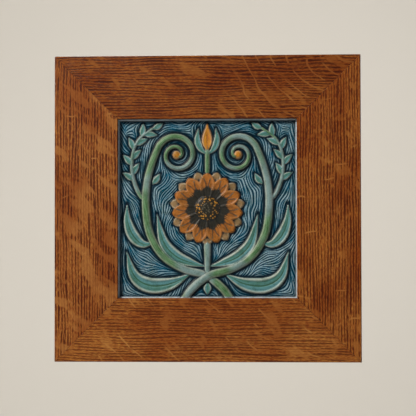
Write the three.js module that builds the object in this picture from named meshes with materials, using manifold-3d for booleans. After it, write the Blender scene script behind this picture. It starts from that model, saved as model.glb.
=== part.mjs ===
// A glazed relief tile in a square frame of four flat mitred oak rails, with the hardware that hangs it.
// Millimetres, +Z up. The front faces -Y and the wall is the plane y = 0. The origin is the middle of the
// hanger's rear face, behind the top rail.
import * as THREE from 'three';
import { mergeVertices } from 'three/addons/utils/BufferGeometryUtils.js';
import Module from 'manifold-3d';

const wasm = await Module();
wasm.setup();

const tile = {
  width: 152, // a six inch tile
  thickness: 9.5,
  rim: 1.8, // width of the raised border that shows beside the frame
  rimHeight: 2.2,
  rimSlope: 0.7,
};
const relief = {
  field: 146, // the carving below is drawn on a square this wide
  height: 4.2, // of the highest carving above the ground
  root: 0.8, // how far the carving's underside sinks into the tile's body
};
const rail = {
  width: 52,
  thickness: 19,
  lip: 4.4, // thickness of the lip in front of the tile
  lipCover: 3, // how far the lip reaches over the tile's edge
  outerEase: 1.3,
  innerEase: 0.8,
  mitreGap: 0.12,
};
const board = { thickness: 3 };
const hanger = {
  length: 46,
  height: 9,
  metal: 0.8,
  tab: 8, // each flat end, nailed to the rail
  slope: 2.5, // run of the bend from an end up to the raised middle
  teeth: 9,
  toothDepth: 2.2,
};
const nail = { radius: 0.7, length: 11, headRadius: 1.8, headHeight: 0.6, clearance: 0.12 };
const bumper = { radius: 5.5, fromSide: 30, fromBottom: 13 };
const standOff = 2.5; // from the frame's back to the wall
const hangDrop = 26; // from the frame's top edge down to the hanger's middle
const tileClearance = 0.5; // beside the tile, in the rebate
const seatGap = 0.1; // between pieces that rest face to face

const openingHalf = tile.width / 2 - rail.lipCover;
const outerHalf = openingHalf + rail.width;
const rebateHalf = tile.width / 2 + tileClearance;
const back = -standOff;
const front = back - rail.thickness;
const lipBack = front + rail.lip;
const tileFront = lipBack + seatGap;
const ground = tileFront + tile.rimHeight;
const tileBack = tileFront + tile.thickness;
const boardFront = tileBack + seatGap;

const finish = {
  oak: { color: '#75401e', roughness: 0.5, metalness: 0 },
  glaze: { color: '#4a7478', roughness: 0.2, metalness: 0 },
  hardboard: { color: '#7d6040', roughness: 0.85, metalness: 0 },
  brassedSteel: { color: '#b39a5c', roughness: 0.35, metalness: 1 },
  felt: { color: '#3b3a38', roughness: 0.95, metalness: 0 },
};

function piece(name, geometry, look) {
  const mesh = new THREE.Mesh(geometry, new THREE.MeshStandardMaterial(look));
  mesh.name = name;
  return mesh;
}

function toSolid(geometry) {
  const bare = new THREE.BufferGeometry();
  bare.setAttribute('position', geometry.getAttribute('position').clone());
  if (geometry.index) bare.setIndex(geometry.index.clone());
  const merged = mergeVertices(bare, 1e-4);
  return new wasm.Manifold(new wasm.Mesh({
    numProp: 3,
    vertProperties: merged.getAttribute('position').array,
    triVerts: new Uint32Array(merged.index.array),
  }));
}

function toGeometry(solid) {
  const mesh = solid.getMesh();
  const geometry = new THREE.BufferGeometry();
  geometry.setAttribute('position', new THREE.BufferAttribute(mesh.vertProperties, 3));
  geometry.setIndex(new THREE.BufferAttribute(mesh.triVerts, 1));
  geometry.computeVertexNormals();
  return geometry;
}

// A square body whose half-width changes with depth: each point of the profile is [half-width, y].
function squareTurned(profile) {
  const points = profile.map(([half, y]) => new THREE.Vector2(half * Math.SQRT2, y));
  return new THREE.LatheGeometry(points, 4, Math.PI / 4);
}

// The rail's section, as [distance out from the opening's edge, y], with both front arrises eased.
function railSection() {
  const inner = rail.innerEase, outer = rail.outerEase;
  const step = rebateHalf - openingHalf;
  const shape = new THREE.Shape();
  shape.moveTo(inner, front);
  shape.absarc(inner, front + inner, inner, -Math.PI / 2, -Math.PI, true);
  shape.lineTo(0, lipBack);
  shape.lineTo(step, lipBack);
  shape.lineTo(step, back);
  shape.lineTo(rail.width, back);
  shape.lineTo(rail.width, front + outer);
  shape.absarc(rail.width - outer, front + outer, outer, 0, -Math.PI / 2, true);
  shape.closePath();
  return shape;
}

// One rail along X above the opening, its ends cut at 45 degrees.
function mitredRail() {
  const geometry = new THREE.ExtrudeGeometry(railSection(), {
    depth: 1, steps: 1, bevelEnabled: false, curveSegments: 3,
  });
  const place = geometry.getAttribute('position');
  for (let i = 0; i < place.count; i++) {
    const out = openingHalf + place.getX(i), y = place.getY(i);
    const side = place.getZ(i) > 0.5 ? -1 : 1;
    place.setXYZ(i, side * (out - rail.mitreGap / Math.SQRT2), y, out);
  }
  return geometry;
}

// A closed body swept along a flat path. widthAt(t) is the half-width, riseAt(s, t) the height over the
// ground at s from -1 to 1 across, and t runs from 0 to 1 along the path.
function stroke({ path, steps, across, widthAt, riseAt }) {
  const scale = openingHalf * 2 / relief.field;
  const rise = relief.height / 5; // the heights below are drawn with 5 as the highest
  const spine = path.getSpacedPoints(steps);
  const ring = [[-1, null], ...across.map((s) => [s, s]), [1, null]];
  const points = [];
  spine.forEach((at, i) => {
    const t = i / steps;
    const before = spine[Math.max(i - 1, 0)], after = spine[Math.min(i + 1, steps)];
    const along = new THREE.Vector3().subVectors(after, before).normalize();
    const wide = Math.max(widthAt(t), 0.3);
    for (const [s, level] of ring) {
      const depth = level === null ? relief.root : -Math.max(riseAt(level, t), 0.05) * rise;
      points.push(
        (at.x - along.z * s * wide) * scale, ground + depth, (at.z + along.x * s * wide) * scale,
      );
    }
  });
  const n = ring.length, faces = [];
  for (let i = 0; i < steps; i++) {
    for (let k = 0; k < n; k++) {
      const a = i * n + k, b = i * n + (k + 1) % n;
      faces.push(a, a + n, b, b, a + n, b + n);
    }
  }
  for (const end of [0, steps]) {
    const section = ring.map(([s, level], k) => new THREE.Vector2(s, -points[(end * n + k) * 3 + 1]));
    for (const [a, b, c] of THREE.ShapeUtils.triangulateShape(section, [])) {
      const turn = THREE.ShapeUtils.area([section[a], section[b], section[c]]) > 0;
      const corner = [a, b, c].map((k) => end * n + k);
      faces.push(...(turn === (end === 0) ? corner.reverse() : corner));
    }
  }
  const geometry = new THREE.BufferGeometry();
  geometry.setAttribute('position', new THREE.Float32BufferAttribute(points, 3));
  geometry.setIndex(faces);
  return toSolid(geometry);
}

const curve = (points) =>
  new THREE.CatmullRomCurve3(points.map(([x, z]) => new THREE.Vector3(x, 0, z)), false, 'catmullrom', 0.5);
const flipped = (points) => points.map(([x, z]) => [-x, z]);

// Points of a spiral that winds in from radius r0 to r1; angles in degrees.
function volute(centre, r0, r1, from, turns, count) {
  return Array.from({ length: count + 1 }, (_, i) => {
    const t = i / count, left = (1 - t) ** 0.8;
    const angle = THREE.MathUtils.degToRad(from) + turns * 2 * Math.PI * t;
    const r = r0 * left + r1 * (1 - left);
    return [centre[0] + r * Math.cos(angle), centre[1] + r * Math.sin(angle)];
  });
}

// Half-widths along a stroke.
const taper = (w0, w1) => (t) => w0 + (w1 - w0) * t;
const lens = (wide, widest) => (t) => {
  const u = t < widest ? t / widest : (1 - t) / (1 - widest);
  return wide * Math.sin(THREE.MathUtils.clamp(u, 0, 1) * Math.PI / 2) ** 1.15;
};
const petalWidth = (wide) => (t) => wide * Math.max(Math.sin(t ** 1.25 * Math.PI), 0) ** 0.6;

// Heights across a stroke: a round stem, and a dished leaf with raised edges and a sunk midrib.
const roundTop = (base, crown, lift = () => 0) => (s, t) =>
  base + lift(t) + crown * Math.sqrt(Math.max(1 - s * s, 0));
const dished = (base, crown, vein = 0.5) => (s, t) => {
  const edge = Math.exp(-(((Math.abs(s) - 0.82) / 0.14) ** 2));
  const midrib = vein * Math.exp(-((s / 0.1) ** 2));
  const tip = THREE.MathUtils.clamp(Math.min(t, 1 - t) * 14, 0.45, 1);
  return base + crown * (0.45 + 0.55 * edge - midrib + 0.25 * (1 - Math.abs(s))) * tip;
};

const stemAcross = [-0.95, -0.45, 0.45, 0.95];
const leafAcross = [-0.84, 0, 0.84];

const stem = (points, w0, w1, base, crown, steps) => ({
  points, steps, across: stemAcross, widthAt: taper(w0, w1), riseAt: roundTop(base, crown),
});
const leaf = (points, wide, widest, base, crown, steps) => ({
  points, steps, across: leafAcross, widthAt: lens(wide, widest), riseAt: dished(base, crown),
});

// The two main stems cross below the flower, climb the sides and wind into volutes.
function mainStem(lift) {
  const lead = [
    [-21, -78], [-13, -66], [1, -55], [19, -49.5], [36, -39], [47, -21], [50.5, 1], [49.5, 21], [45.5, 37],
  ];
  const crossing = (t) => lift * Math.exp(-(((t - 0.115) / 0.035) ** 2));
  return {
    points: [...lead, ...volute([25, 44], 16.5, 2.2, 20, 1.55, 34)],
    steps: 58,
    across: stemAcross,
    widthAt: (t) => (t < 0.45 ? 3.6 : 3.6 - (t - 0.45) / 0.55 * 2.1),
    riseAt: roundTop(1.4, 2.4, crossing),
  };
}

function smallLeaf([x, z], degrees, length, wide, bend) {
  const angle = THREE.MathUtils.degToRad(degrees);
  const [dx, dz] = [Math.cos(angle), Math.sin(angle)];
  const middle = [x + dx * length / 2 - dz * bend, z + dz * length / 2 + dx * bend];
  return leaf([[x, z], middle, [x + dx * length, z + dz * length]], wide, 0.45, 0.5, 1.4, 4);
}

// A thin stem up each outer edge, with leaves to both sides of it.
function spray() {
  const points = [[50, 5], [57, 14], [61.5, 28], [61.5, 44], [56, 57], [45, 65.5]];
  const path = curve(points);
  const leaves = [0.3, 0.36, 0.48, 0.54, 0.66, 0.72, 0.84, 0.88].map((t, k) => {
    const at = path.getPointAt(t), along = path.getTangentAt(t), side = k % 2 ? 1 : -1;
    const degrees = THREE.MathUtils.radToDeg(Math.atan2(along.z, along.x)) + side * 38;
    return smallLeaf([at.x, at.z], degrees, 11.5, 2.5, -side * 0.7);
  });
  return [stem(points, 2, 0.9, 0.8, 1.3, 13), ...leaves, smallLeaf([45, 65.5], 150, 10, 2.5, 0.6)];
}

function pairedStrokes() {
  return [
    leaf([[13, -53], [30, -61.5], [47, -63], [60, -55], [66.5, -35]], 6.6, 0.45, 0.6, 2, 12),
    leaf([[43, -28], [53, -29], [61, -22], [65.5, -10], [66, 4]], 4.8, 0.42, 0.7, 1.8, 9),
    leaf([[1, -47.5], [13, -44.5], [26, -39], [36, -27], [41.5, -4]], 5.2, 0.42, 0.8, 1.9, 10),
    leaf([[0.5, 44], [6, 50], [8, 57], [7, 66]], 2.9, 0.45, 0.9, 1.7, 6),
    smallLeaf([10, -68], -20, 11, 2.4, 0.6),
    smallLeaf([45.5, 20], 128, 11, 2.6, 0.6),
    ...spray(),
  ];
}

function singleStrokes() {
  return [
    stem([[0, -54], [0, -46], [0, -30]], 2.4, 3.2, 1.2, 1.8, 6),
    stem([[0, 30], [0, 40], [0, 50]], 2, 2.2, 0.8, 1.4, 4),
    leaf([[0, 46], [0, 57], [0, 69.5]], 4.6, 0.4, 1.3, 1.8, 6),
    leaf([[0, -60], [0, -65], [0, -70.5]], 3.2, 0.5, 0.5, 1.5, 4),
  ];
}

function petals(count, r0, r1, wide, base, turn) {
  return Array.from({ length: count }, (_, k) => {
    const angle = Math.PI / 2 + (k + turn) / count * 2 * Math.PI;
    const at = (r) => [r * Math.cos(angle), r * Math.sin(angle)];
    return {
      points: [at(r0), at((r0 + r1) / 2), at(r1)],
      steps: 5,
      across: leafAcross,
      widthAt: petalWidth(wide),
      riseAt: dished(base, 1.5, 0.25),
    };
  });
}

// A round boss, sunk to the same depth as the strokes.
function dome([x, z], radius, base, crown, sides) {
  const scale = openingHalf * 2 / relief.field, rise = relief.height / 5;
  const top = [1, 0.85, 0.55, 0].map((share) => [
    radius * share * scale, (base + crown * Math.sqrt(1 - share * share)) * rise,
  ]);
  const profile = [[0, -relief.root], [radius * scale, -relief.root], ...top]
    .map(([r, height]) => new THREE.Vector2(r, height));
  const geometry = new THREE.LatheGeometry(profile, sides).rotateX(Math.PI);
  return toSolid(geometry.translate(x * scale, ground, z * scale));
}

function reliefTile() {
  const half = tile.width / 2, inner = openingHalf - tile.rim;
  const body = toSolid(squareTurned([
    [0, tileBack], [half, tileBack], [half, tileFront], [inner + tile.rimSlope, tileFront],
    [inner, ground], [0, ground],
  ].reverse()));
  const twins = pairedStrokes();
  const strokes = [
    mainStem(1.1),
    { ...mainStem(-1.1), points: flipped(mainStem(0).points) },
    ...twins,
    ...twins.map((one) => ({ ...one, points: flipped(one.points) })),
    ...singleStrokes(),
    ...petals(11, 8, 30.5, 6, 1.3, 0.5),
    ...petals(11, 6, 29, 7.2, 2, 0),
  ];
  const carving = strokes
    .map((one) => stroke({ ...one, path: curve(one.points) }))
    .concat([-25, 25].map((x) => dome([x, 44], 3.6, 1.6, 2, 12)))
    .reduce((all, one) => all.add(one), dome([0, 0], 10.5, 3, 2, 22));
  const shown = openingHalf - seatGap;
  const window = toSolid(squareTurned([
    [0, ground + relief.root * 2], [shown, ground + relief.root * 2], [shown, front], [0, front],
  ].reverse()));
  return toGeometry(body.add(carving.intersect(window)));
}

function nailAt(x) {
  const head = hanger.metal + seatGap * 2;
  const profile = [
    [0, nail.length], [nail.radius, nail.length], [nail.radius, 0],
    [nail.headRadius, 0], [nail.headRadius, -nail.headHeight], [0, -nail.headHeight],
  ].map(([r, depth]) => new THREE.Vector2(r, back + head - depth));
  return new THREE.LatheGeometry(profile, 12).translate(x, 0, 0);
}

function nailHole(x) {
  const radius = nail.radius + nail.clearance, depth = nail.length + nail.clearance;
  return toSolid(new THREE.CylinderGeometry(radius, radius, depth * 2, 12).translate(x, back, 0));
}

// The hanger's side view runs along X: flat ends on the rail and a raised middle against the wall.
function sawtoothHanger(nailPlaces) {
  const half = hanger.length / 2, bend = half - hanger.tab, top = bend - hanger.slope;
  const low = back + seatGap, metal = hanger.metal;
  const profile = new THREE.Shape([
    [-half, low], [-bend, low], [-top, -metal], [top, -metal], [bend, low], [half, low],
    [half, low + metal], [bend, low + metal], [top, 0], [-top, 0], [-bend, low + metal], [-half, low + metal],
  ].map(([x, y]) => new THREE.Vector2(x, y)));
  const strip = new THREE.ExtrudeGeometry(profile, { depth: hanger.height, bevelEnabled: false });
  strip.translate(0, 0, -hanger.height / 2);
  const pitch = top * 2 / hanger.teeth;
  let solid = toSolid(strip);
  for (let i = 0; i < hanger.teeth; i++) {
    const x = -top + (i + 0.5) * pitch;
    const notch = new THREE.Shape([
      [x - pitch * 0.45, -1], [x + pitch * 0.45, -1], [x, hanger.toothDepth],
    ].map(([u, v]) => new THREE.Vector2(u, v)));
    const cutter = new THREE.ExtrudeGeometry(notch, { depth: standOff * 2, bevelEnabled: false });
    cutter.rotateX(Math.PI / 2).translate(0, standOff, -hanger.height / 2);
    solid = solid.subtract(toSolid(cutter));
  }
  return toGeometry(nailPlaces.reduce((cut, x) => cut.subtract(nailHole(x)), solid));
}

function boardGeometry() {
  const width = tile.width + tileClearance;
  return new THREE.BoxGeometry(width, board.thickness, width).translate(0, boardFront + board.thickness / 2, 0);
}

const group = new THREE.Group();
const frame = new THREE.Group();
frame.position.z = hangDrop - outerHalf;
group.add(frame);

const nailPlaces = [-1, 1].map((side) => side * (hanger.length - hanger.tab) / 2);
const drop = outerHalf - hangDrop;
const topRail = nailPlaces.reduce(
  (cut, x) => cut.subtract(nailHole(x).translate([0, 0, drop])), toSolid(mitredRail()),
);
['top_rail', 'right_stile', 'bottom_rail', 'left_stile'].forEach((name, quarter) => {
  const made = piece(name, quarter ? mitredRail() : toGeometry(topRail), finish.oak);
  made.rotation.y = quarter * Math.PI / 2;
  frame.add(made);
});
frame.add(piece('relief_tile', reliefTile(), finish.glaze));
frame.add(piece('backing_board', boardGeometry(), finish.hardboard));

const bumperThickness = standOff - seatGap;
[['bumper_left', -1], ['bumper_right', 1]].forEach(([name, side]) => {
  const disc = new THREE.CylinderGeometry(bumper.radius, bumper.radius, bumperThickness, 18);
  const made = piece(name, disc, finish.felt);
  const x = side * (outerHalf - bumper.fromSide), z = bumper.fromBottom - outerHalf;
  made.position.set(x, -bumperThickness / 2, z);
  frame.add(made);
});

group.add(piece('sawtooth_hanger', sawtoothHanger(nailPlaces), finish.brassedSteel));
group.add(piece('hanger_nail_left', nailAt(nailPlaces[0]), finish.brassedSteel));
group.add(piece('hanger_nail_right', nailAt(nailPlaces[1]), finish.brassedSteel));

export default group;
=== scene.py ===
import math

import bmesh
import bpy
import numpy as np
from mathutils import Matrix, Vector


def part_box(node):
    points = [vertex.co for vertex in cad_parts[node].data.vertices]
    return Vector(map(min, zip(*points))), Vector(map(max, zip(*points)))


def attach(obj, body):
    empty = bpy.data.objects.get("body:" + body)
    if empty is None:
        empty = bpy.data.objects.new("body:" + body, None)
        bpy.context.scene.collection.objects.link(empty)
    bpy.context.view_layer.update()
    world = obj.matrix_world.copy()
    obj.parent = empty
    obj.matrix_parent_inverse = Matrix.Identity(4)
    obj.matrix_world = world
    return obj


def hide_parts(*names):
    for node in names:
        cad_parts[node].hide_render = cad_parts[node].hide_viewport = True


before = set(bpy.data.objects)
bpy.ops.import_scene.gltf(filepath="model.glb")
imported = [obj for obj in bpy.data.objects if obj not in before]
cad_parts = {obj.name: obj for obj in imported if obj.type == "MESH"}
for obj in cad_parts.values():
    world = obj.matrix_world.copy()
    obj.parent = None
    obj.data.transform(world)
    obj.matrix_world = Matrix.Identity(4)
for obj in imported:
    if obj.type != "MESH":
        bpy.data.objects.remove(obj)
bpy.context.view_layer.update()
mm = 0.001

# Places that the frame gives: the front faces -Y and the wall is y = 0.
topLow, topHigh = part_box("top_rail")
tileLow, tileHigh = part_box("relief_tile")
middle = Vector(((tileLow.x + tileHigh.x) / 2, 0, (tileLow.z + tileHigh.z) / 2))
outerHalf = topHigh.z - middle.z
openingHalf = topLow.z - middle.z
frameFront, frameBack = topLow.y, topHigh.y
print("frame loaded, opening", round(openingHalf * 2 / mm, 1), "mm")


def linear(hexColour):
    # sRGB hex to the linear values that the shaders take
    parts = [int(hexColour[i:i + 2], 16) / 255 for i in (1, 3, 5)]
    return tuple(p / 12.92 if p <= 0.04045 else ((p + 0.055) / 1.055) ** 2.4 for p in parts) + (1.0,)


def addNode(tree, kind, settings=None, sockets=None):
    # a value is set on its socket, and another node's output is linked to it
    node = tree.nodes.new(kind)
    for key, value in (settings or {}).items():
        setattr(node, key, value)
    for key, value in (sockets or {}).items():
        if isinstance(value, bpy.types.NodeSocket):
            tree.links.new(value, node.inputs[key])
        else:
            node.inputs[key].default_value = value
    return node


def newMaterial(name, sockets):
    material = bpy.data.materials.new(name)
    material.use_nodes = True
    tree = material.node_tree
    tree.nodes.clear()
    surface = addNode(tree, "ShaderNodeBsdfPrincipled", None, sockets)
    addNode(tree, "ShaderNodeOutputMaterial", None, {"Surface": surface.outputs[0]})
    return material, tree, surface


def maths(tree, operation, a, b=0.0):
    return addNode(tree, "ShaderNodeMath", {"operation": operation}, {0: a, 1: b}).outputs[0]


def between(tree, value, low, high):
    # 0 below low, 1 above high, smooth in between
    node = addNode(tree, "ShaderNodeMapRange", {"interpolation_type": "SMOOTHSTEP"},
                   {"Value": value, "From Min": low, "From Max": high})
    return node.outputs[0]


def blend(tree, amount, below, above, mode="MIX"):
    node = addNode(tree, "ShaderNodeMix", {"data_type": "RGBA", "blend_type": mode},
                   {0: amount, 6: below, 7: above})
    return node.outputs[2]


def noise(tree, vector, stretch, detail=2.0, roughness=0.5, distortion=0.0):
    # stretch is the size of the noise's grains in mm, along X, Y and Z
    scaled = addNode(tree, "ShaderNodeVectorMath", {"operation": "MULTIPLY"},
                     {0: vector, 1: tuple(1 / (s * mm) for s in stretch)})
    node = addNode(tree, "ShaderNodeTexNoise", None,
                   {"Vector": scaled.outputs[0], "Scale": 1.0, "Detail": detail,
                    "Roughness": roughness, "Distortion": distortion})
    return node.outputs[0]


def finish(bm, name, material, replaced, smoothAngle=None):
    # the mesh becomes a piece of the object, with its place in its vertices
    mesh = bpy.data.meshes.new(name)
    bm.to_mesh(mesh)
    bm.free()
    piece = bpy.data.objects.new(name, mesh)
    bpy.context.scene.collection.objects.link(piece)
    mesh.materials.append(material)
    if smoothAngle is not None:
        mesh.shade_smooth()
        mesh.set_sharp_from_angle(angle=math.radians(smoothAngle))
    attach(piece, "root")
    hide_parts(*replaced)
    return piece


# Oak rails

oak = {
    "pores": "#431808",  # stain settles dark in the open pores
    "earlywood": "#7b411e",
    "latewood": "#9d6a30",
    "fleck": "#9c6c38",  # medullary rays take less stain
    "deeper": "#dec6ba",  # where the stain took more
    "ringPitch": 2.3,  # mm, as all sizes here
    "rayWidth": 0.95,
    "poreDepth": 0.05,
    # sizes of the grain's marks: along the board, into it and across it
    "poreSize": (32, 0.9, 0.7),  # pore lines, about twice as coarse as real ones, so that they show
    "breakSize": (11, 1.6, 1.4),  # the gaps that break them
    "fibreSize": (3.2, 0.5, 0.5),
    "wanderSize": (80, 40, 20),  # slow bends of the whole grain
    "jitterSize": (70, 4, 5.5),  # unevenness of the rings
    "stainSize": (45, 30, 26),
    "rayBendSize": (34, 3, 26),
    "rayGapSize": (19, 2, 15),
}


def rayArcs(tree, place, look):
    # thin curved flecks, parts of rings about a centre far off the rail
    away = addNode(tree, "ShaderNodeVectorMath", {"operation": "SUBTRACT"},
                   {0: place, 1: (look["rayCentre"][0] * mm, 0, look["rayCentre"][1] * mm)}).outputs[0]
    away = addNode(tree, "ShaderNodeVectorMath", {"operation": "MULTIPLY"},
                   {0: away, 1: (look["raySquash"], 0, 1)}).outputs[0]
    radius = addNode(tree, "ShaderNodeVectorMath", {"operation": "LENGTH"}, {0: away}).outputs["Value"]
    turns = maths(tree, "ADD", maths(tree, "MULTIPLY", radius, 2 * math.pi / (look["raySpacing"] * mm)),
                  maths(tree, "MULTIPLY", noise(tree, place, oak["rayBendSize"], 1.5), 9.0))
    edge = math.cos(math.pi * oak["rayWidth"] / look["raySpacing"])
    line = between(tree, maths(tree, "SINE", turns), edge - 0.06, edge + 0.03)
    kept = between(tree, noise(tree, place, oak["rayGapSize"], 1.0), look["rayCut"], look["rayCut"] + 0.07)
    where = addNode(tree, "ShaderNodeSeparateXYZ", None, {0: place}).outputs["X"]
    shown = between(tree, where, look["raysFrom"] * mm, (look["raysFrom"] + 30) * mm)
    return maths(tree, "MULTIPLY", maths(tree, "MULTIPLY", line, kept), shown)


def quartersawnOak(name, look):
    # Red-brown stained quartersawn oak under satin varnish: dark broken pore lines run along the rail,
    # and pale ray flecks lie across them, where the pores fade.
    material, tree, surface = newMaterial(name, {"Roughness": 0.3, "IOR": 1.45, "Specular IOR Level": 0.25})
    place = addNode(tree, "ShaderNodeTexCoord").outputs["Object"]
    # after this, X runs along the rail, Z across it and Y into it
    turned = addNode(tree, "ShaderNodeMapping", {"vector_type": "POINT"},
                     {"Vector": place, "Location": look["shift"],
                      "Rotation": (0, math.radians(look["turn"]), 0)}).outputs[0]
    wander = maths(tree, "SUBTRACT", noise(tree, turned, oak["wanderSize"], 1.5), 0.5)
    drift = addNode(tree, "ShaderNodeCombineXYZ", None,
                    {"Z": maths(tree, "MULTIPLY", wander, look["waviness"] * mm)}).outputs[0]
    bent = addNode(tree, "ShaderNodeVectorMath", {"operation": "ADD"}, {0: turned, 1: drift}).outputs[0]

    across = addNode(tree, "ShaderNodeSeparateXYZ", None, {0: bent}).outputs["Z"]
    jitter = noise(tree, bent, oak["jitterSize"], 2.0)
    phase = maths(tree, "ADD", maths(tree, "MULTIPLY", across, 2 * math.pi / (oak["ringPitch"] * mm)),
                  maths(tree, "MULTIPLY", jitter, 7.0))
    rings = maths(tree, "ADD", maths(tree, "MULTIPLY", maths(tree, "SINE", phase), 0.5), 0.5)
    streaks = noise(tree, bent, oak["poreSize"], 3.0, 0.64)
    stripes = maths(tree, "ADD", maths(tree, "MULTIPLY", rings, 0.20), maths(tree, "MULTIPLY", streaks, 0.80))
    broken = between(tree, noise(tree, bent, oak["breakSize"], 3.0, 0.7), 0.36, 0.47)
    pores = maths(tree, "MULTIPLY", between(tree, stripes, 0.48, 0.55), broken)
    fibres = noise(tree, bent, oak["fibreSize"], 2.0, 0.6)

    rays = rayArcs(tree, turned, look)
    slanted = addNode(tree, "ShaderNodeMapping", {"vector_type": "POINT"},
                      {"Vector": turned, "Rotation": (0, math.radians(look["patchSlant"]), 0)}).outputs[0]
    # the rays are thin sheets that lie in the face, so the board's edges show only their ends
    islands = noise(tree, slanted, (look["patchSize"][0], 1.5, look["patchSize"][1]), 2.0, 0.45)
    # their borders are frayed along the grain
    frayed = maths(tree, "ADD", islands, maths(tree, "MULTIPLY", maths(tree, "SUBTRACT", streaks, 0.5), 0.2))
    patches = between(tree, frayed, look["patchCut"], look["patchCut"] + 0.07)

    wood = blend(tree, between(tree, fibres, 0.38, 0.62), linear(oak["earlywood"]), linear(oak["latewood"]))
    stain = between(tree, noise(tree, turned, oak["stainSize"], 2.0, 0.5), 0.36, 0.66)
    wood = blend(tree, maths(tree, "MULTIPLY", patches, 0.5), wood, linear(oak["fleck"]))
    fade = maths(tree, "SUBTRACT", 1.0, maths(tree, "MULTIPLY", patches, 0.7))
    poreShare = maths(tree, "MULTIPLY", maths(tree, "MULTIPLY", pores, fade), look["poreShare"])
    wood = blend(tree, poreShare, wood, linear(oak["pores"]))
    wood = blend(tree, maths(tree, "MULTIPLY", rays, 0.9), wood, linear(oak["fleck"]))
    # each board's own tone, with painted shade on the top rail and painted sheen on the left stile
    wood = blend(tree, 1.0, wood, linear(look["toneAndLight"]), "MULTIPLY")
    deeper = blend(tree, 1.0, wood, linear(oak["deeper"]), "MULTIPLY")
    wood = blend(tree, stain, wood, deeper)
    tree.links.new(wood, surface.inputs["Base Color"])

    gloss = addNode(tree, "ShaderNodeMapRange", None,
                    {"Value": poreShare, "To Min": 0.29, "To Max": 0.38}).outputs[0]
    tree.links.new(gloss, surface.inputs["Roughness"])
    level = maths(tree, "SUBTRACT", maths(tree, "MULTIPLY", fibres, 0.3), poreShare)
    bump = addNode(tree, "ShaderNodeBump", None,
                   {"Strength": 0.5, "Distance": oak["poreDepth"] * mm, "Height": level})
    tree.links.new(bump.outputs[0], surface.inputs["Normal"])
    return material


rail = {
    "lip": 4.4,  # thickness in front of the tile, mm
    "rebate": 3.5,  # how far the rebate reaches out from the opening
    "outerEase": 1.3,
    "innerEase": 0.8,
    "mitreEase": 0.1,  # the sawn edges along each mitre are barely broken
    "easeSegments": 4,
    "mitreGap": 0.08,
}

# each rail is its own board: its turn about the opening, its place in the log, its tone, and the slant, size
# and share of its flecks, with sizes in mm. The tones are partly painted light: the top rail's is darker as
# painted shade, and the left stile's bluer as painted sheen from the upper left.
rails = {
    "top_rail": {
        "quarter": 0, "turn": 0, "shift": (0.0, 0.0, 0.0), "waviness": 9,
        "toneAndLight": "#dfd0c8", "poreShare": 0.9,
        "rayCentre": (128, 42), "raySquash": 0.8, "raySpacing": 9.5, "rayCut": 0.40, "raysFrom": 5,
        "patchSlant": -38, "patchSize": (22, 7), "patchCut": 0.60,
    },
    "right_stile": {
        "quarter": 1, "turn": 90, "shift": (0.31, 0.07, 0.23), "waviness": 4,
        "toneAndLight": "#f6ede4", "poreShare": 0.9,
        "rayCentre": (900, 200), "raySquash": 1, "raySpacing": 13, "rayCut": 0.60, "raysFrom": -900,
        "patchSlant": 30, "patchSize": (16, 9), "patchCut": 0.62,
    },
    "bottom_rail": {
        "quarter": 2, "turn": 0, "shift": (0.57, 0.13, 0.41), "waviness": 6,
        "toneAndLight": "#ffffff", "poreShare": 0.74,
        "rayCentre": (900, 560), "raySquash": 1, "raySpacing": 12, "rayCut": 0.58, "raysFrom": -900,
        "patchSlant": -50, "patchSize": (17, 9), "patchCut": 0.60,
    },
    "left_stile": {
        "quarter": 3, "turn": 90, "shift": (0.95, 0.21, 0.77), "waviness": 5,
        "toneAndLight": "#f8f5ff", "poreShare": 0.94,
        "rayCentre": (1300, 900), "raySquash": 1, "raySpacing": 14, "rayCut": 0.66, "raysFrom": -900,
        "patchSlant": 48, "patchSize": (19, 9), "patchCut": 0.535,
    },
}


def mitredRail(name, look):
    size = {key: value * mm for key, value in rail.items() if key != "easeSegments"}
    lipBack = frameFront + size["lip"]
    section = [(0, frameFront), (0, lipBack), (size["rebate"], lipBack), (size["rebate"], frameBack),
               (outerHalf - openingHalf, frameBack), (outerHalf - openingHalf, frameFront)]
    bm = bmesh.new()
    face = bm.faces.new([bm.verts.new((-1, y, openingHalf + out)) for out, y in section])
    far = bmesh.ops.extrude_face_region(bm, geom=[face])["geom"]
    bmesh.ops.translate(bm, verts=[v for v in far if isinstance(v, bmesh.types.BMVert)], vec=(2, 0, 0))
    for v in bm.verts:  # the ends are cut at 45 degrees
        v.co.x *= v.co.z - size["mitreGap"] / math.sqrt(2)
    bmesh.ops.recalc_face_normals(bm, faces=bm.faces)
    for out, ease in ((openingHalf, "innerEase"), (outerHalf, "outerEase")):
        arris = Vector((0, frameFront, out))
        edges = [e for e in bm.edges if all((v.co - arris).yz.length < 1e-7 for v in e.verts)]
        bmesh.ops.bevel(bm, geom=edges, offset=size[ease], offset_type="OFFSET", affect="EDGES",
                        segments=rail["easeSegments"], profile=0.5, material=-1)
    ends = [e for e in bm.edges if sum(abs(f.normal.x) > 0.5 for f in e.link_faces) == 1
            and min(v.co.y for v in e.verts) < frameFront + size["outerEase"] * 1.01]
    bmesh.ops.bevel(bm, geom=ends, offset=size["mitreEase"], offset_type="OFFSET", affect="EDGES",
                    segments=2, profile=0.5, material=-1)
    turn = Matrix.Rotation(math.radians(90 * look["quarter"]), 4, "Y")
    bmesh.ops.transform(bm, matrix=Matrix.Translation(middle) @ turn, verts=bm.verts)
    piece = finish(bm, name + "_oak", quartersawnOak("quartersawnOak_" + name, look), [name], 30)
    # the flat faces keep their own normals beside the rounded arrises
    piece.modifiers.new("flatFaces", "WEIGHTED_NORMAL").keep_sharp = True


for railName, railLook in rails.items():
    mitredRail(railName, railLook)
print("rails made")

# Relief tile

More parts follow.
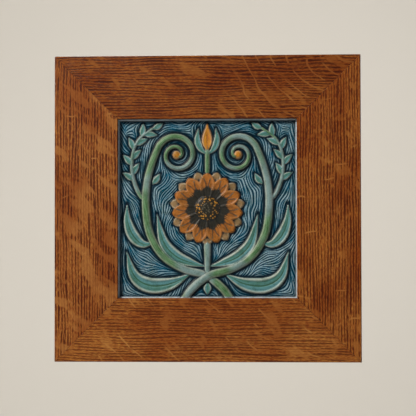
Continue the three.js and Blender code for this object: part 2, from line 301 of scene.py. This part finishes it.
relief = {
    "field": 146,  # mm, the square that the design is drawn on
    "height": 4.2,  # of the highest carving above the ground
    "rim": 1.2,
    "rimHeight": 2.2,
    "rimSlope": 0.7,
    "cells": 302,  # across the part that shows
    "shoulder": 1.5,  # run of a stroke's side, rounded by the glaze
    "pillow": 0.6,  # how far the ground swells between the strokes
    "pillowRun": 2.6,  # over what distance it rises
    "softening": 0.5,  # in cells, the last smoothing of the shape and of the edges between glazes
}
# the fine lines engraved in the ground; sizes are in cells of half a millimetre
hatch = {
    "pitch": 2.9,
    "reach": 9,  # half the length of a line
    "calm": 6,  # how far the direction is evened out
    "swirl": 0.7,
    "rounds": 4,
}
glazes = ("sage", "leaf", "rust", "charcoal", "tan", "ochre")


def throughPoints(points, steps=10):
    # a Catmull-Rom curve through the points
    p = [np.array(q, float) for q in points]
    p = [2 * p[0] - p[1]] + p + [2 * p[-1] - p[-2]]
    made = []
    for a, b, c, d in zip(p, p[1:], p[2:], p[3:]):
        for t in np.arange(steps) / steps:
            made.append(0.5 * (2 * b + (c - a) * t + (2 * a - 5 * b + 4 * c - d) * t ** 2
                               + (3 * b - a - 3 * c + d) * t ** 3))
    return np.array(made + [p[-2]])


def evenly(path, spacing=0.9):
    lengths = np.concatenate([[0], np.cumsum(np.linalg.norm(np.diff(path, axis=0), axis=1))])
    at = np.linspace(0, lengths[-1], max(6, int(lengths[-1] / spacing)) + 1)
    return np.stack([np.interp(at, lengths, path[:, k]) for k in (0, 1)], 1)


def volute(centre, r0, r1, start, turns, count=40):
    t = np.linspace(0, 1, count + 1)
    left = (1 - t) ** 0.8
    angle, r = math.radians(start) + turns * 2 * math.pi * t, r0 * left + r1 * (1 - left)
    return np.stack([centre[0] + r * np.cos(angle), centre[1] + r * np.sin(angle)], 1).tolist()


# half-widths along a stroke, in mm; t runs from 0 to 1
def taper(w0, w1):
    return lambda t: w0 + (w1 - w0) * t


def lens(wide, widest):
    def width(t):
        u = np.where(t < widest, t / widest, (1 - t) / (1 - widest))
        return wide * np.sin(np.clip(u, 0, 1) * math.pi / 2) ** 1.15
    return width


def petalWidth(wide):
    return lambda t: wide * np.maximum(np.sin(t ** 1.25 * math.pi), 0) ** 0.6


# heights across a stroke, with 5 as the highest; s runs from -1 to 1 across
def roundTop(base, crown, lift=lambda t: 0):
    # most of the height is in the round, so the sides turn well away from the light
    return lambda s, t: 0.25 * base + lift(t) + (0.75 * base + crown) * np.sqrt(np.clip(1 - s * s, 0, 1))


def dished(base, crown, vein=0.5):
    def rise(s, t):
        edge = np.exp(-((np.abs(s) - 0.78) / 0.16) ** 2)
        midrib = vein * np.exp(-(s / 0.1) ** 2)
        tip = np.clip(np.minimum(t, 1 - t) * 14, 0.45, 1)
        return base + crown * (0.25 + 0.8 * edge - midrib + 0.45 * (1 - np.abs(s))) * tip
    return rise


def stem(points, w0, w1, base, crown):
    return {"points": points, "width": taper(w0, w1), "rise": roundTop(base, crown), "glaze": "sage"}


def leaf(points, wide, widest, base, crown, glaze="leaf"):
    return {"points": points, "width": lens(wide, widest), "rise": dished(base, crown), "glaze": glaze}


def mainStem(lift):
    lead = [(-21, -78), (-13, -66), (1, -55), (19, -49.5), (36, -39), (47, -21), (50.5, 1), (49.5, 21),
            (45.5, 37)]
    return {
        "points": lead + volute((25, 44), 16.5, 2.2, 20, 1.55),
        "width": lambda t: np.where(t < 0.45, 3.6, 3.6 - (t - 0.45) / 0.55 * 2.1),
        "rise": roundTop(1.4, 2.4, lambda t: lift * np.exp(-((t - 0.115) / 0.035) ** 2)),
        "glaze": "sage",
    }


def smallLeaf(at, degrees, length, wide, bend):
    a = math.radians(degrees)
    d, n = np.array([math.cos(a), math.sin(a)]), np.array([-math.sin(a), math.cos(a)])
    at = np.array(at, float)
    return leaf([at, at + d * length / 2 + n * bend, at + d * length], wide, 0.45, 0.5, 1.4)


def spray():
    points = [(50, 5), (57, 14), (61.5, 28), (61.5, 44), (56, 57), (45, 65.5)]
    path = evenly(throughPoints(points))
    made = [stem(points, 2, 0.9, 0.8, 1.3), smallLeaf((45, 65.5), 150, 10, 2.5, 0.6)]
    for k, t in enumerate((0.3, 0.36, 0.48, 0.54, 0.66, 0.72, 0.84, 0.88)):
        i = int(t * (len(path) - 1))
        along, side = path[i + 1] - path[i - 1], 1 if k % 2 else -1
        made.append(smallLeaf(path[i], math.degrees(math.atan2(along[1], along[0])) + side * 38, 11.5, 2.5,
                              -side * 0.7))
    return made


def pairedStrokes():
    return [
        leaf([(13, -53), (30, -61.5), (47, -63), (60, -55), (66.5, -35)], 6.6, 0.45, 0.6, 2),
        leaf([(43, -28), (53, -29), (61, -22), (65.5, -10), (66, 4)], 4.8, 0.42, 0.7, 1.8),
        leaf([(1, -47.5), (13, -44.5), (26, -39), (36, -27), (41.5, -4)], 5.2, 0.42, 0.8, 1.9),
        leaf([(0.5, 44), (6, 50), (8, 57), (7, 66)], 2.9, 0.45, 0.9, 1.7),
        smallLeaf((10, -68), -20, 11, 2.4, 0.6),
        smallLeaf((45.5, 20), 128, 11, 2.6, 0.6),
        *spray(),
    ]


def petals(count, r0, r1, wide, base, turn, glaze):
    made = []
    for k in range(count):
        a = math.pi / 2 + (k + turn) / count * 2 * math.pi
        d = np.array([math.cos(a), math.sin(a)])
        made.append({"points": [d * r0, d * (r0 + r1) / 2, d * r1], "width": petalWidth(wide),
                     "rise": dished(base, 1.5, 0.25), "glaze": glaze})
    return made


def flipped(stroke):
    return {**stroke, "points": [(-x, z) for x, z in stroke["points"]]}


def allStrokes():
    twins = pairedStrokes()
    single = [
        stem([(0, -54), (0, -46), (0, -30)], 2.4, 3.2, 1.2, 1.8),
        stem([(0, 30), (0, 40), (0, 50)], 2, 2.2, 0.8, 1.4),
        leaf([(0, 46), (0, 57), (0, 69.5)], 4.6, 0.4, 1.3, 1.8, "ochre"),
        leaf([(0, -60), (0, -65), (0, -70.5)], 3.2, 0.5, 0.5, 1.5),
    ]
    return [mainStem(1.1), flipped(mainStem(-1.1)), *twins, *map(flipped, twins), *single,
            *petals(11, 8, 30.5, 6, 1.3, 0.5, "tan"), *petals(11, 6, 29, 7.2, 2, 0, "rust")]


bosses = [  # round bosses: centre, radius, base, crown, glaze
    ((0, 0), 10.5, 3, 2, "charcoal"),
    ((-25, 44), 3.6, 1.6, 2, "ochre"),
    ((25, 44), 3.6, 1.6, 2, "ochre"),
]


def rounded(share):
    # rises from 0 as a quarter circle does
    return np.sqrt(1 - (1 - np.clip(share, 0, 1)) ** 2)


class Carving:
    # the height and glaze of the relief at each point of the field
    def __init__(self, at):
        self.at = at
        self.height = np.zeros(len(at))
        self.glaze = np.full(len(at), -1)
        self.across = np.zeros(len(at))
        self.run = np.zeros(len(at))  # mm along the stroke
        self.clear = np.full(len(at), 14.0)  # distance to the nearest stroke

    def keep(self, index, rise, inside, glaze, across, run):
        higher = inside & (rise > self.height[index])
        at = index[higher]
        self.height[at], self.glaze[at] = rise[higher], glazes.index(glaze)
        self.across[at], self.run[at] = across[higher], run[higher]

    def carve(self, stroke):
        path = evenly(throughPoints(stroke["points"]))
        low, high = path.min(0) - 15, path.max(0) + 15
        index = np.where(((self.at > low) & (self.at < high)).all(1))[0]
        here = self.at[index]
        best, t, side = np.full(len(here), 1e9), np.zeros(len(here)), np.zeros(len(here))
        for i, (a, b) in enumerate(zip(path, path[1:])):
            e, off = b - a, here - a
            k = np.clip(off @ e / (e @ e), 0, 1)
            gap = off - k[:, None] * e
            d = (gap ** 2).sum(1)
            nearer = d < best
            best[nearer], t[nearer] = d[nearer], ((i + k) / (len(path) - 1))[nearer]
            side[nearer] = np.sign(e[0] * gap[:, 1] - e[1] * gap[:, 0])[nearer]
        best = np.sqrt(best)
        wide = np.maximum(stroke["width"](t), 0.05)
        s = np.clip(best / wide, 0, 1)
        run = t * np.linalg.norm(np.diff(path, axis=0), axis=1).sum()
        # bare ground takes the measures of the stroke that it borders on
        beside = (self.glaze[index] < 0) & (best - wide < self.clear[index])
        self.across[index[beside]], self.run[index[beside]] = (s * side)[beside], run[beside]
        self.clear[index] = np.minimum(self.clear[index], best - wide)
        wall = rounded((wide - best) / np.minimum(wide, relief["shoulder"]))
        self.keep(index, stroke["rise"](s * side, t) * wall, best < wide, stroke["glaze"], s * side, run)

    def raiseBoss(self, centre, radius, base, crown, glaze):
        r = np.linalg.norm(self.at - centre, axis=1)
        s = np.clip(r / radius, 0, 1)
        wall = rounded((radius - r) / relief["shoulder"])
        self.clear = np.minimum(self.clear, r - radius)
        rise = (base + crown * np.sqrt(1 - s * s)) * wall
        self.keep(np.arange(len(self.at)), rise, r < radius, glaze, s, r)


def blurred(grid, cells):
    margin = int(4 * cells) + 1
    padded = np.pad(grid, margin, mode="reflect")
    rates = np.fft.fftfreq(len(padded))
    gain = np.exp(-2 * (math.pi * cells) ** 2 * (rates[:, None] ** 2 + rates ** 2))
    return np.fft.ifft2(np.fft.fft2(padded) * gain).real[margin:-margin, margin:-margin]


def sampled(grid, row, column):
    i, j = row.astype(int), column.astype(int)
    u, v = row - i, column - j
    return ((grid[i, j] * (1 - u) + grid[i + 1, j] * u) * (1 - v)
            + (grid[i, j + 1] * (1 - u) + grid[i + 1, j + 1] * u) * v)


def smoothNoise(count, waves, seed):
    # a smooth random field with about that many waves across it, from -1 to 1
    random = np.random.default_rng(seed).standard_normal((waves + 3, waves + 3))
    at = np.linspace(0, waves, count)
    i = at.astype(int)
    u = at - i
    u = u * u * (3 - 2 * u)
    rows = random[i] * (1 - u)[:, None] + random[i + 1] * u[:, None]
    return np.clip((rows[:, i] * (1 - u) + rows[:, i + 1] * u) / 1.5, -1, 1)


def engravedLines(clear):
    # noise is smeared along the strokes and sharpened, a few times over, until it falls into lines
    count = len(clear)
    dz, dx = np.gradient(blurred(clear, 0.8))
    # doubled angles, so that slopes facing each other agree
    angle = np.arctan2(blurred(2 * dx * dz, hatch["calm"]), blurred(dx * dx - dz * dz, hatch["calm"])) / 2
    angle += math.pi / 2 + hatch["swirl"] * smoothNoise(count, 7, 4)
    ahead = np.stack([np.sin(angle), np.cos(angle)])
    places = []
    for sign in (1, -1):
        place, heading = np.mgrid[0:count, 0:count].astype(float), ahead * sign
        for _ in range(hatch["reach"]):
            i, j = place.round().astype(int)
            step = ahead[:, i, j]
            heading = step * np.where((step * heading).sum(0) < 0, -1, 1)
            place = np.clip(place + heading, 0, count - 1.001)
            places.append(place)
    lines = np.random.default_rng(7).standard_normal((count, count))
    for _ in range(hatch["rounds"]):
        smeared = lines + sum(sampled(lines, *place) for place in places)
        lines = blurred(smeared, 0.17 * hatch["pitch"]) - blurred(smeared, 0.34 * hatch["pitch"])
        lines = np.tanh(1.5 * lines / lines.std())
    return lines


def reliefTile():
    count, half = relief["cells"] + 1, openingHalf
    bm = bmesh.new()
    bmesh.ops.create_grid(bm, x_segments=relief["cells"], y_segments=relief["cells"], size=half)
    bm.verts.ensure_lookup_table()
    at = np.array([v.co[:2] for v in bm.verts]) / mm * (relief["field"] / (half * 2 / mm))
    order = np.lexsort((at[:, 0].round(3), at[:, 1].round(3)))  # rows from the lowest up

    carving = Carving(at[order])
    for stroke in allStrokes():
        carving.carve(stroke)
    for boss in bosses:
        carving.raiseBoss(*boss)

    def square(values):
        return values.reshape(count, count)

    edge = np.abs(at[order]).max(1)
    rimAt = half / mm - relief["rim"]
    scale = relief["height"] / 5
    clear = np.clip(np.minimum(carving.clear, rimAt + 1.4 - edge), 0, 14)
    bare = blurred(square((carving.glaze < 0) * 1.0), relief["softening"])
    swell = relief["pillow"] * (1 - np.exp(-(blurred(square(clear), 0.9) / relief["pillowRun"]) ** 2))
    raised = blurred(square(carving.height) * scale, 0.7)
    slope = np.clip((edge - rimAt) / relief["rimSlope"], 0, 1) * relief["rimHeight"]
    level = np.maximum(raised + bare * swell, square(slope))
    beyond = square(edge) > half / mm - 0.25  # nothing carved runs under the frame's lip
    level = np.where(beyond, np.minimum(level, relief["rimHeight"]), level)
    level = blurred(level, relief["softening"])

    fields = {name: blurred(square((carving.glaze == i) * 1.0), relief["softening"])
              for i, name in enumerate(glazes)}
    fields.update({
        "bare": bare,
        "lines": engravedLines(square(clear)),
        "open": square(clear),
        "border": np.clip((square(edge) - rimAt - 0.1) / 0.5, 0, 1),
        "proud": np.clip(raised - blurred(raised, 2.6), -2, 2),  # stands above its surroundings
        "across": square(carving.across),
        "run": square(carving.run),
    })

    ground = frameFront + (rail["lip"] + 0.1 + relief["rimHeight"]) * mm
    depth = np.empty(len(at))
    depth[order] = level.ravel()
    for v, d in zip(bm.verts, depth):
        v.co = (v.co.x, ground - d * mm, v.co.y)
    # the border goes on under the lip, then round the body to the back
    tileHalf = (tileHigh.x - tileLow.x) / 2
    for reach, y in ((tileHalf, ground - relief["rimHeight"] * mm), (tileHalf, tileHigh.y)):
        rim = [e for e in bm.edges if e.is_boundary]
        for v in bmesh.ops.extrude_edge_only(bm, edges=rim)["geom"]:
            if isinstance(v, bmesh.types.BMVert):
                grow = reach / max(abs(v.co.x), abs(v.co.z))
                v.co = (v.co.x * grow, y, v.co.z * grow)
    bmesh.ops.contextual_create(bm, geom=[e for e in bm.edges if e.is_boundary])
    bmesh.ops.triangulate(bm, faces=[f for f in bm.faces if len(f.verts) > 4])
    bmesh.ops.translate(bm, verts=bm.verts, vec=middle)
    bmesh.ops.recalc_face_normals(bm, faces=bm.faces)
    piece = finish(bm, "relief_tile_glazed", majolicaGlaze(), ["relief_tile"])
    piece.data.shade_smooth()
    for name, grid in fields.items():
        values = np.zeros(len(piece.data.vertices), np.float32)
        values[:len(at)][order] = grid.ravel()
        piece.data.attributes.new(name, "FLOAT", "POINT").data.foreach_set("value", values)


glaze = {
    "groundDeep": "#001726",  # pooled in the lines; against the strokes it is pooled glaze and painted shade
    "groundMid": "#0a5a79",
    "groundPale": "#8fa8b4",  # thin over the swelling ground
    "sage": "#5d8262",
    "sageShade": "#3b633d",
    "washed": "#7a91a0",
    "leaf": "#4f8088",
    "leafShade": "#3a684a",
    "thin": "#bec2b8",  # where any green glaze breaks over an edge
    "rust": "#9b6127",
    "rustShade": "#7f4b1b",
    "rustThin": "#b08556",
    "charcoal": "#262520",
    "charcoalThin": "#6f6c5a",
    "tan": "#846d4e",
    "ochre": "#b57f2a",
    "border": "#a9b8c6",
    "mottle": "#dce0da",  # what the glaze's uneven clouds and specks take off it
    "fleck": "#d6d9d2",
    # sizes in mm
    "mottleSize": 8,
    "fleckSize": 1.2,
    "hazeSize": 11,  # paler clouds over the ground
    "washSize": 22,  # paler stretches of the stems
    "seedSpacing": 1.8,
    "brushLength": 9,  # of the brush marks along a stroke
    "reliefDepth": 0.06,  # of the lines and the glaze's unevenness
}


def majolicaGlaze():
    # Coloured glazes pooled in the hollows of a pressed clay relief: deep and glossy where thick, paler
    # and drier where the glaze runs thin over an edge.
    material, tree, surface = newMaterial("majolicaGlaze", {"IOR": 1.5, "Specular IOR Level": 0.21})
    place = addNode(tree, "ShaderNodeTexCoord").outputs["Object"]

    def field(name):
        return addNode(tree, "ShaderNodeAttribute", {"attribute_name": name}).outputs["Fac"]

    def clouds(size, detail, roughness=0.5):
        return noise(tree, place, (glaze[size],) * 3, detail, roughness)

    def times(a, b):
        return maths(tree, "MULTIPLY", a, b)

    cloud = clouds("mottleSize", 3.0, 0.6)
    speck = clouds("fleckSize", 2.0, 0.6)
    proud, clear, side, run = field("proud"), field("open"), field("across"), field("run")
    across = maths(tree, "ABSOLUTE", side)
    # brushed along each stroke
    brushed = addNode(tree, "ShaderNodeCombineXYZ", None,
                      {"X": times(run, 1 / glaze["brushLength"]), "Y": times(side, 3.4)}).outputs[0]
    streak = addNode(tree, "ShaderNodeTexNoise", None,
                     {"Vector": brushed, "Scale": 1.0, "Detail": 3.0, "Roughness": 0.6}).outputs[0]

    # engraved lines, pale on their crests, fade into the dark glaze beside the strokes, which is pooled glaze
    # and painted shade
    lines = field("lines")
    inside = between(tree, clear, 0.7, 4.0)
    hazy = between(tree, clouds("hazeSize", 1.0), 0.36, 0.64)
    crest = times(between(tree, lines, 0.0, 0.9), inside)
    crest = times(crest, maths(tree, "ADD", 0.5, times(hazy, 0.4)))
    gaps = times(between(tree, lines, 0.1, -0.8), 0.85)
    ground = blend(tree, times(hazy, 0.2), linear(glaze["groundMid"]), linear(glaze["groundPale"]))
    # painted shade: the ground darkens towards the strokes and the rim
    ground = blend(tree, times(inside, 0.95), linear(glaze["groundDeep"]), ground)
    ground = blend(tree, gaps, ground, linear(glaze["groundDeep"]))
    ground = blend(tree, crest, ground, linear(glaze["groundPale"]))

    def pooled(body, shade, share, thin, edge):
        # shade where its share says, and thin along the raised edges
        colour = blend(tree, share, linear(body), linear(shade))
        return blend(tree, edge, colour, linear(thin))

    brushwork = between(tree, streak, 0.40, 0.66)
    # the rim of a leaf or a petal, where its glaze is thin
    lip = times(times(between(tree, across, 0.50, 0.84), between(tree, across, 1.04, 0.90)), 0.6)
    halfLip = times(lip, 0.5)

    # stems: some stretches came out of the kiln paler and greyer
    washed = times(between(tree, clouds("washSize", 0.0), 0.40, 0.62), 0.65)
    shoulder = times(times(between(tree, across, 0.35, 0.75), between(tree, across, 1.0, 0.85)), 0.35)
    # painted shade: the sides of the stems darken towards their feet, partly as pooled glaze, so that they
    # look rounder
    footShade = times(between(tree, across, 0.75, 1.0), 0.6)
    branch = pooled(glaze["sage"], glaze["sageShade"], brushwork, glaze["washed"], washed)
    branch = blend(tree, shoulder, branch, linear(glaze["thin"]))
    branch = blend(tree, footShade, branch, linear(glaze["groundDeep"]))
    colour = blend(tree, field("sage"), ground, branch)

    # one half of each leaf is green and the other blue
    halves = times(between(tree, side, -0.12, 0.35), between(tree, side, 1.0, 0.5))
    green = times(times(halves, between(tree, streak, 0.25, 0.70)), 0.75)
    vein = times(between(tree, across, 0.16, 0.05), 0.85)
    blade = pooled(glaze["leaf"], glaze["leafShade"], maths(tree, "MAXIMUM", green, vein), glaze["thin"], lip)
    colour = blend(tree, field("leaf"), colour, blade)

    # petals are dark towards the middle of the flower
    heart = between(tree, maths(tree, "ADD", run, times(across, 4.5)), 13.5, 11.5)
    petal = pooled(glaze["rust"], glaze["rustShade"], times(brushwork, 0.6), glaze["rustThin"], halfLip)
    petal = blend(tree, heart, petal, linear(glaze["charcoal"]))
    colour = blend(tree, field("rust"), colour, petal)

    # seeds crowd the middle, ripe towards its edge
    seedPlace = addNode(tree, "ShaderNodeTexVoronoi", {"feature": "F1"},
                        {"Vector": place, "Scale": 1 / (glaze["seedSpacing"] * mm),
                         "Randomness": 0.8}).outputs["Distance"]
    seeds = between(tree, seedPlace, 0.52, 0.22)
    ripe = times(seeds, times(between(tree, across, 0.35, 0.70), between(tree, across, 0.97, 0.88)))
    disc = pooled(glaze["charcoal"], glaze["charcoalThin"], times(seeds, 0.35), glaze["ochre"], ripe)
    colour = blend(tree, field("charcoal"), colour, disc)

    tip = between(tree, maths(tree, "SUBTRACT", run, times(across, 1.5)), 15.5, 17.0)
    outerPetal = pooled(glaze["charcoal"], glaze["tan"], tip, glaze["thin"], halfLip)
    colour = blend(tree, field("tan"), colour, outerPetal)
    bud = pooled(glaze["ochre"], glaze["rust"], brushwork, glaze["thin"], halfLip)
    colour = blend(tree, field("ochre"), colour, bud)
    colour = blend(tree, field("border"), colour, linear(glaze["border"]))
    # the glaze pools dark where anything falls away to the ground, and this darkening is also painted shade
    # at the feet of the strokes
    poolAndShade = times(between(tree, proud, 0.05, -0.6), 0.85)
    colour = blend(tree, poolAndShade, colour, linear(glaze["groundDeep"]))
    for tone, share in (("mottle", between(tree, cloud, 0.44, 0.68)),
                        ("fleck", between(tree, speck, 0.52, 0.70))):
        colour = blend(tree, share, colour, blend(tree, 1.0, colour, linear(glaze[tone]), "MULTIPLY"))
    tree.links.new(colour, surface.inputs["Base Color"])

    # rough on the strokes, most of all on the rust ones, and smooth on the ground between them
    gloss = addNode(tree, "ShaderNodeMapRange", None,
                    {"Value": between(tree, clear, 0.4, 1.4), "To Min": 0.38, "To Max": 0.2}).outputs[0]
    tree.links.new(maths(tree, "ADD", gloss, times(field("rust"), 0.08)), surface.inputs["Roughness"])

    grooves = times(lines, times(field("bare"), inside))
    beads = times(times(seeds, field("charcoal")), 3.0)
    height = maths(tree, "ADD", maths(tree, "ADD", grooves, beads), times(cloud, 0.8))
    bump = addNode(tree, "ShaderNodeBump", None,
                   {"Strength": 0.6, "Distance": glaze["reliefDepth"] * mm, "Height": height})
    tree.links.new(bump.outputs[0], surface.inputs["Normal"])
    return material


reliefTile()
print("tile made")

# Back: the board, hanger, nails and bumpers keep their solids

backFinishes = {
    # pressed wood fibre, matt and brown, with loose pale fibres
    "hardboard": {
        "pieces": ["backing_board"],
        "sockets": {"Roughness": 0.85},
        "dark": "#6b4d30", "light": "#8c6c47", "from": 0.35,
        "grain": ((2.4, 2.4, 0.5), 4.0, 0.7, 1.0), "strength": 0.4, "depth": 0.1,
    },
    # thin brass plate over rolled steel: bright, with fine lengthwise lines
    "brassedSteel": {
        "pieces": ["sawtooth_hanger", "hanger_nail_left", "hanger_nail_right"],
        "sockets": {"Metallic": 1.0, "Roughness": 0.32},
        "dark": "#a88a4a", "light": "#c9ac68", "from": 0.3,
        "grain": ((18, 0.4, 0.25), 2.0), "strength": 0.3, "depth": 0.03,
    },
    # dark pressed felt, matt and slightly hairy
    "woolFelt": {
        "pieces": ["bumper_left", "bumper_right"],
        "sockets": {"Roughness": 0.95, "Sheen Weight": 0.4},
        "dark": "#2c2b2a", "light": "#4b4945", "from": 0.35,
        "grain": ((0.9, 0.5, 0.5), 4.0, 0.7, 1.5), "strength": 0.6, "depth": 0.2,
    },
}


def dress(name, look):
    # two tones and a fine relief that follow one grain
    material, tree, surface = newMaterial(name, look["sockets"])
    place = addNode(tree, "ShaderNodeTexCoord").outputs["Object"]
    grain = noise(tree, place, *look["grain"])
    colour = blend(tree, between(tree, grain, look["from"], 0.7), linear(look["dark"]), linear(look["light"]))
    tree.links.new(colour, surface.inputs["Base Color"])
    bump = addNode(tree, "ShaderNodeBump", None,
                   {"Strength": look["strength"], "Distance": look["depth"] * mm, "Height": grain})
    tree.links.new(bump.outputs[0], surface.inputs["Normal"])
    for piece in look["pieces"]:
        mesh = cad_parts[piece].data
        mesh.materials.clear()
        mesh.materials.append(material)


for finishName, finishLook in backFinishes.items():
    dress(finishName, finishLook)
print("back dressed")

# Studio

studio = {
    "paint": "#d3d2ce",
    "wallBehind": 1.9,  # metres behind the object, clear of the views from the back
    "floorBelow": 1.25,
    "planeHalf": 6,  # half the width of the backdrop and of the floor
    "room": "#e2e6ea",
    "ambient": 0.06,  # the room's strength as a light
    "roomSeen": 0.4,  # and where the camera looks past the backdrop
}
lights = [
    # name, place and aim in metres, width, watts and colour
    ("key", middle + Vector((-1.13, -1.5, 1.13)), middle, 0.45, 62, "#fff4e6"),
    ("fill", middle + Vector((2.0, -1.6, 0.4)), middle, 1.4, 5, "#f4f6ff"),
    # the back alone, which the main view doesn't see
    ("back", (-0.5, 1.7, 0.5), (-0.5, 0, 0.5), 0.9, 26, "#fff8ee"),
    # keeps the right edge from going black
    ("side", (1.7, 0.5, 0.1), (0, 0.5, 0.1), 0.9, 6, "#fff8ee"),
    # the backdrop alone
    ("wallLight", (0, 0.3, 0.1), (0, studio["wallBehind"], -0.1), 0.8, 10.2, "#fffaf3"),
    # the far floor, turned away from the object
    ("frontFloor", (2.0, -2.4, 1.8), (3.2, -3.84, -1.0), 1.2, 55, "#fffaf3"),
    ("leftFloor", (-3.0, 0.0, 1.8), (-4.8, 0.0, -1.0), 1.2, 55, "#fffaf3"),
]


def paintedPlane(name, place, turn):
    bm = bmesh.new()
    bmesh.ops.create_grid(bm, x_segments=1, y_segments=1, size=studio["planeHalf"])
    bmesh.ops.transform(bm, matrix=Matrix.Translation(place) @ turn, verts=bm.verts)
    mesh = bpy.data.meshes.new(name)
    bm.to_mesh(mesh)
    bm.free()
    plane = bpy.data.objects.new(name, mesh)
    bpy.context.scene.collection.objects.link(plane)
    plane.data.materials.append(wallPaint)


def areaLight(name, place, aim, size, power, colour):
    light = bpy.data.lights.new(name, "AREA")
    light.shape, light.size, light.energy, light.color = "DISK", size, power, linear(colour)[:3]
    lamp = bpy.data.objects.new(name, light)
    bpy.context.scene.collection.objects.link(lamp)
    lamp.location = place
    lamp.rotation_euler = (Vector(aim) - Vector(place)).to_track_quat("-Z", "Y").to_euler()
    lamp.visible_camera = False


wallPaint = newMaterial("wallPaint", {"Roughness": 0.9, "Base Color": linear(studio["paint"])})[0]
paintedPlane("backdrop", (0, studio["wallBehind"], 0), Matrix.Rotation(math.radians(90), 4, "X"))
paintedPlane("floor", (0, 0, -studio["floorBelow"]), Matrix.Identity(4))
for lampSettings in lights:
    areaLight(*lampSettings)

world = bpy.data.worlds.new("room")
bpy.context.scene.world = world
world.use_nodes = True
room = world.node_tree
background = room.nodes["Background"]
background.inputs[0].default_value = linear(studio["room"])
cameraRay = addNode(room, "ShaderNodeLightPath").outputs["Is Camera Ray"]
seen = maths(room, "MULTIPLY", cameraRay, studio["roomSeen"])
room.links.new(maths(room, "MAXIMUM", seen, studio["ambient"]), background.inputs[1])
bpy.context.scene.view_settings.view_transform = "Standard"

camera = {
    # from the corners of the frame and of its opening in the photograph
    "aside": 43.2,  # mm right of the middle
    "below": 22.1,
    "distance": 1000,
    "yaw": -2.43,
    "pitch": 1.28,
    "roll": 0.10,
    "focal": 1230.4,  # pixels
    "pictureWidth": 416,
}


def addCamera():
    optics = bpy.data.cameras.new("camera")
    optics.sensor_width = 36
    optics.lens = optics.sensor_width * camera["focal"] / camera["pictureWidth"]
    eye = bpy.data.objects.new("camera", optics)
    bpy.context.scene.collection.objects.link(eye)
    yaw, pitch, roll = (math.radians(camera[key]) for key in ("yaw", "pitch", "roll"))
    ahead = Vector((math.sin(yaw) * math.cos(pitch), math.cos(yaw) * math.cos(pitch), math.sin(pitch)))
    right = Vector((math.cos(yaw), -math.sin(yaw), 0))
    up = right.cross(ahead)
    right, up = (right * math.cos(roll) - up * math.sin(roll), right * math.sin(roll) + up * math.cos(roll))
    eye.matrix_world = Matrix((right, up, -ahead)).transposed().to_4x4()
    away = Vector((camera["aside"], -camera["distance"], -camera["below"])) * mm
    eye.location = Vector((0, frameFront, middle.z)) + away
    bpy.context.scene.camera = eye


addCamera()
print("studio made")
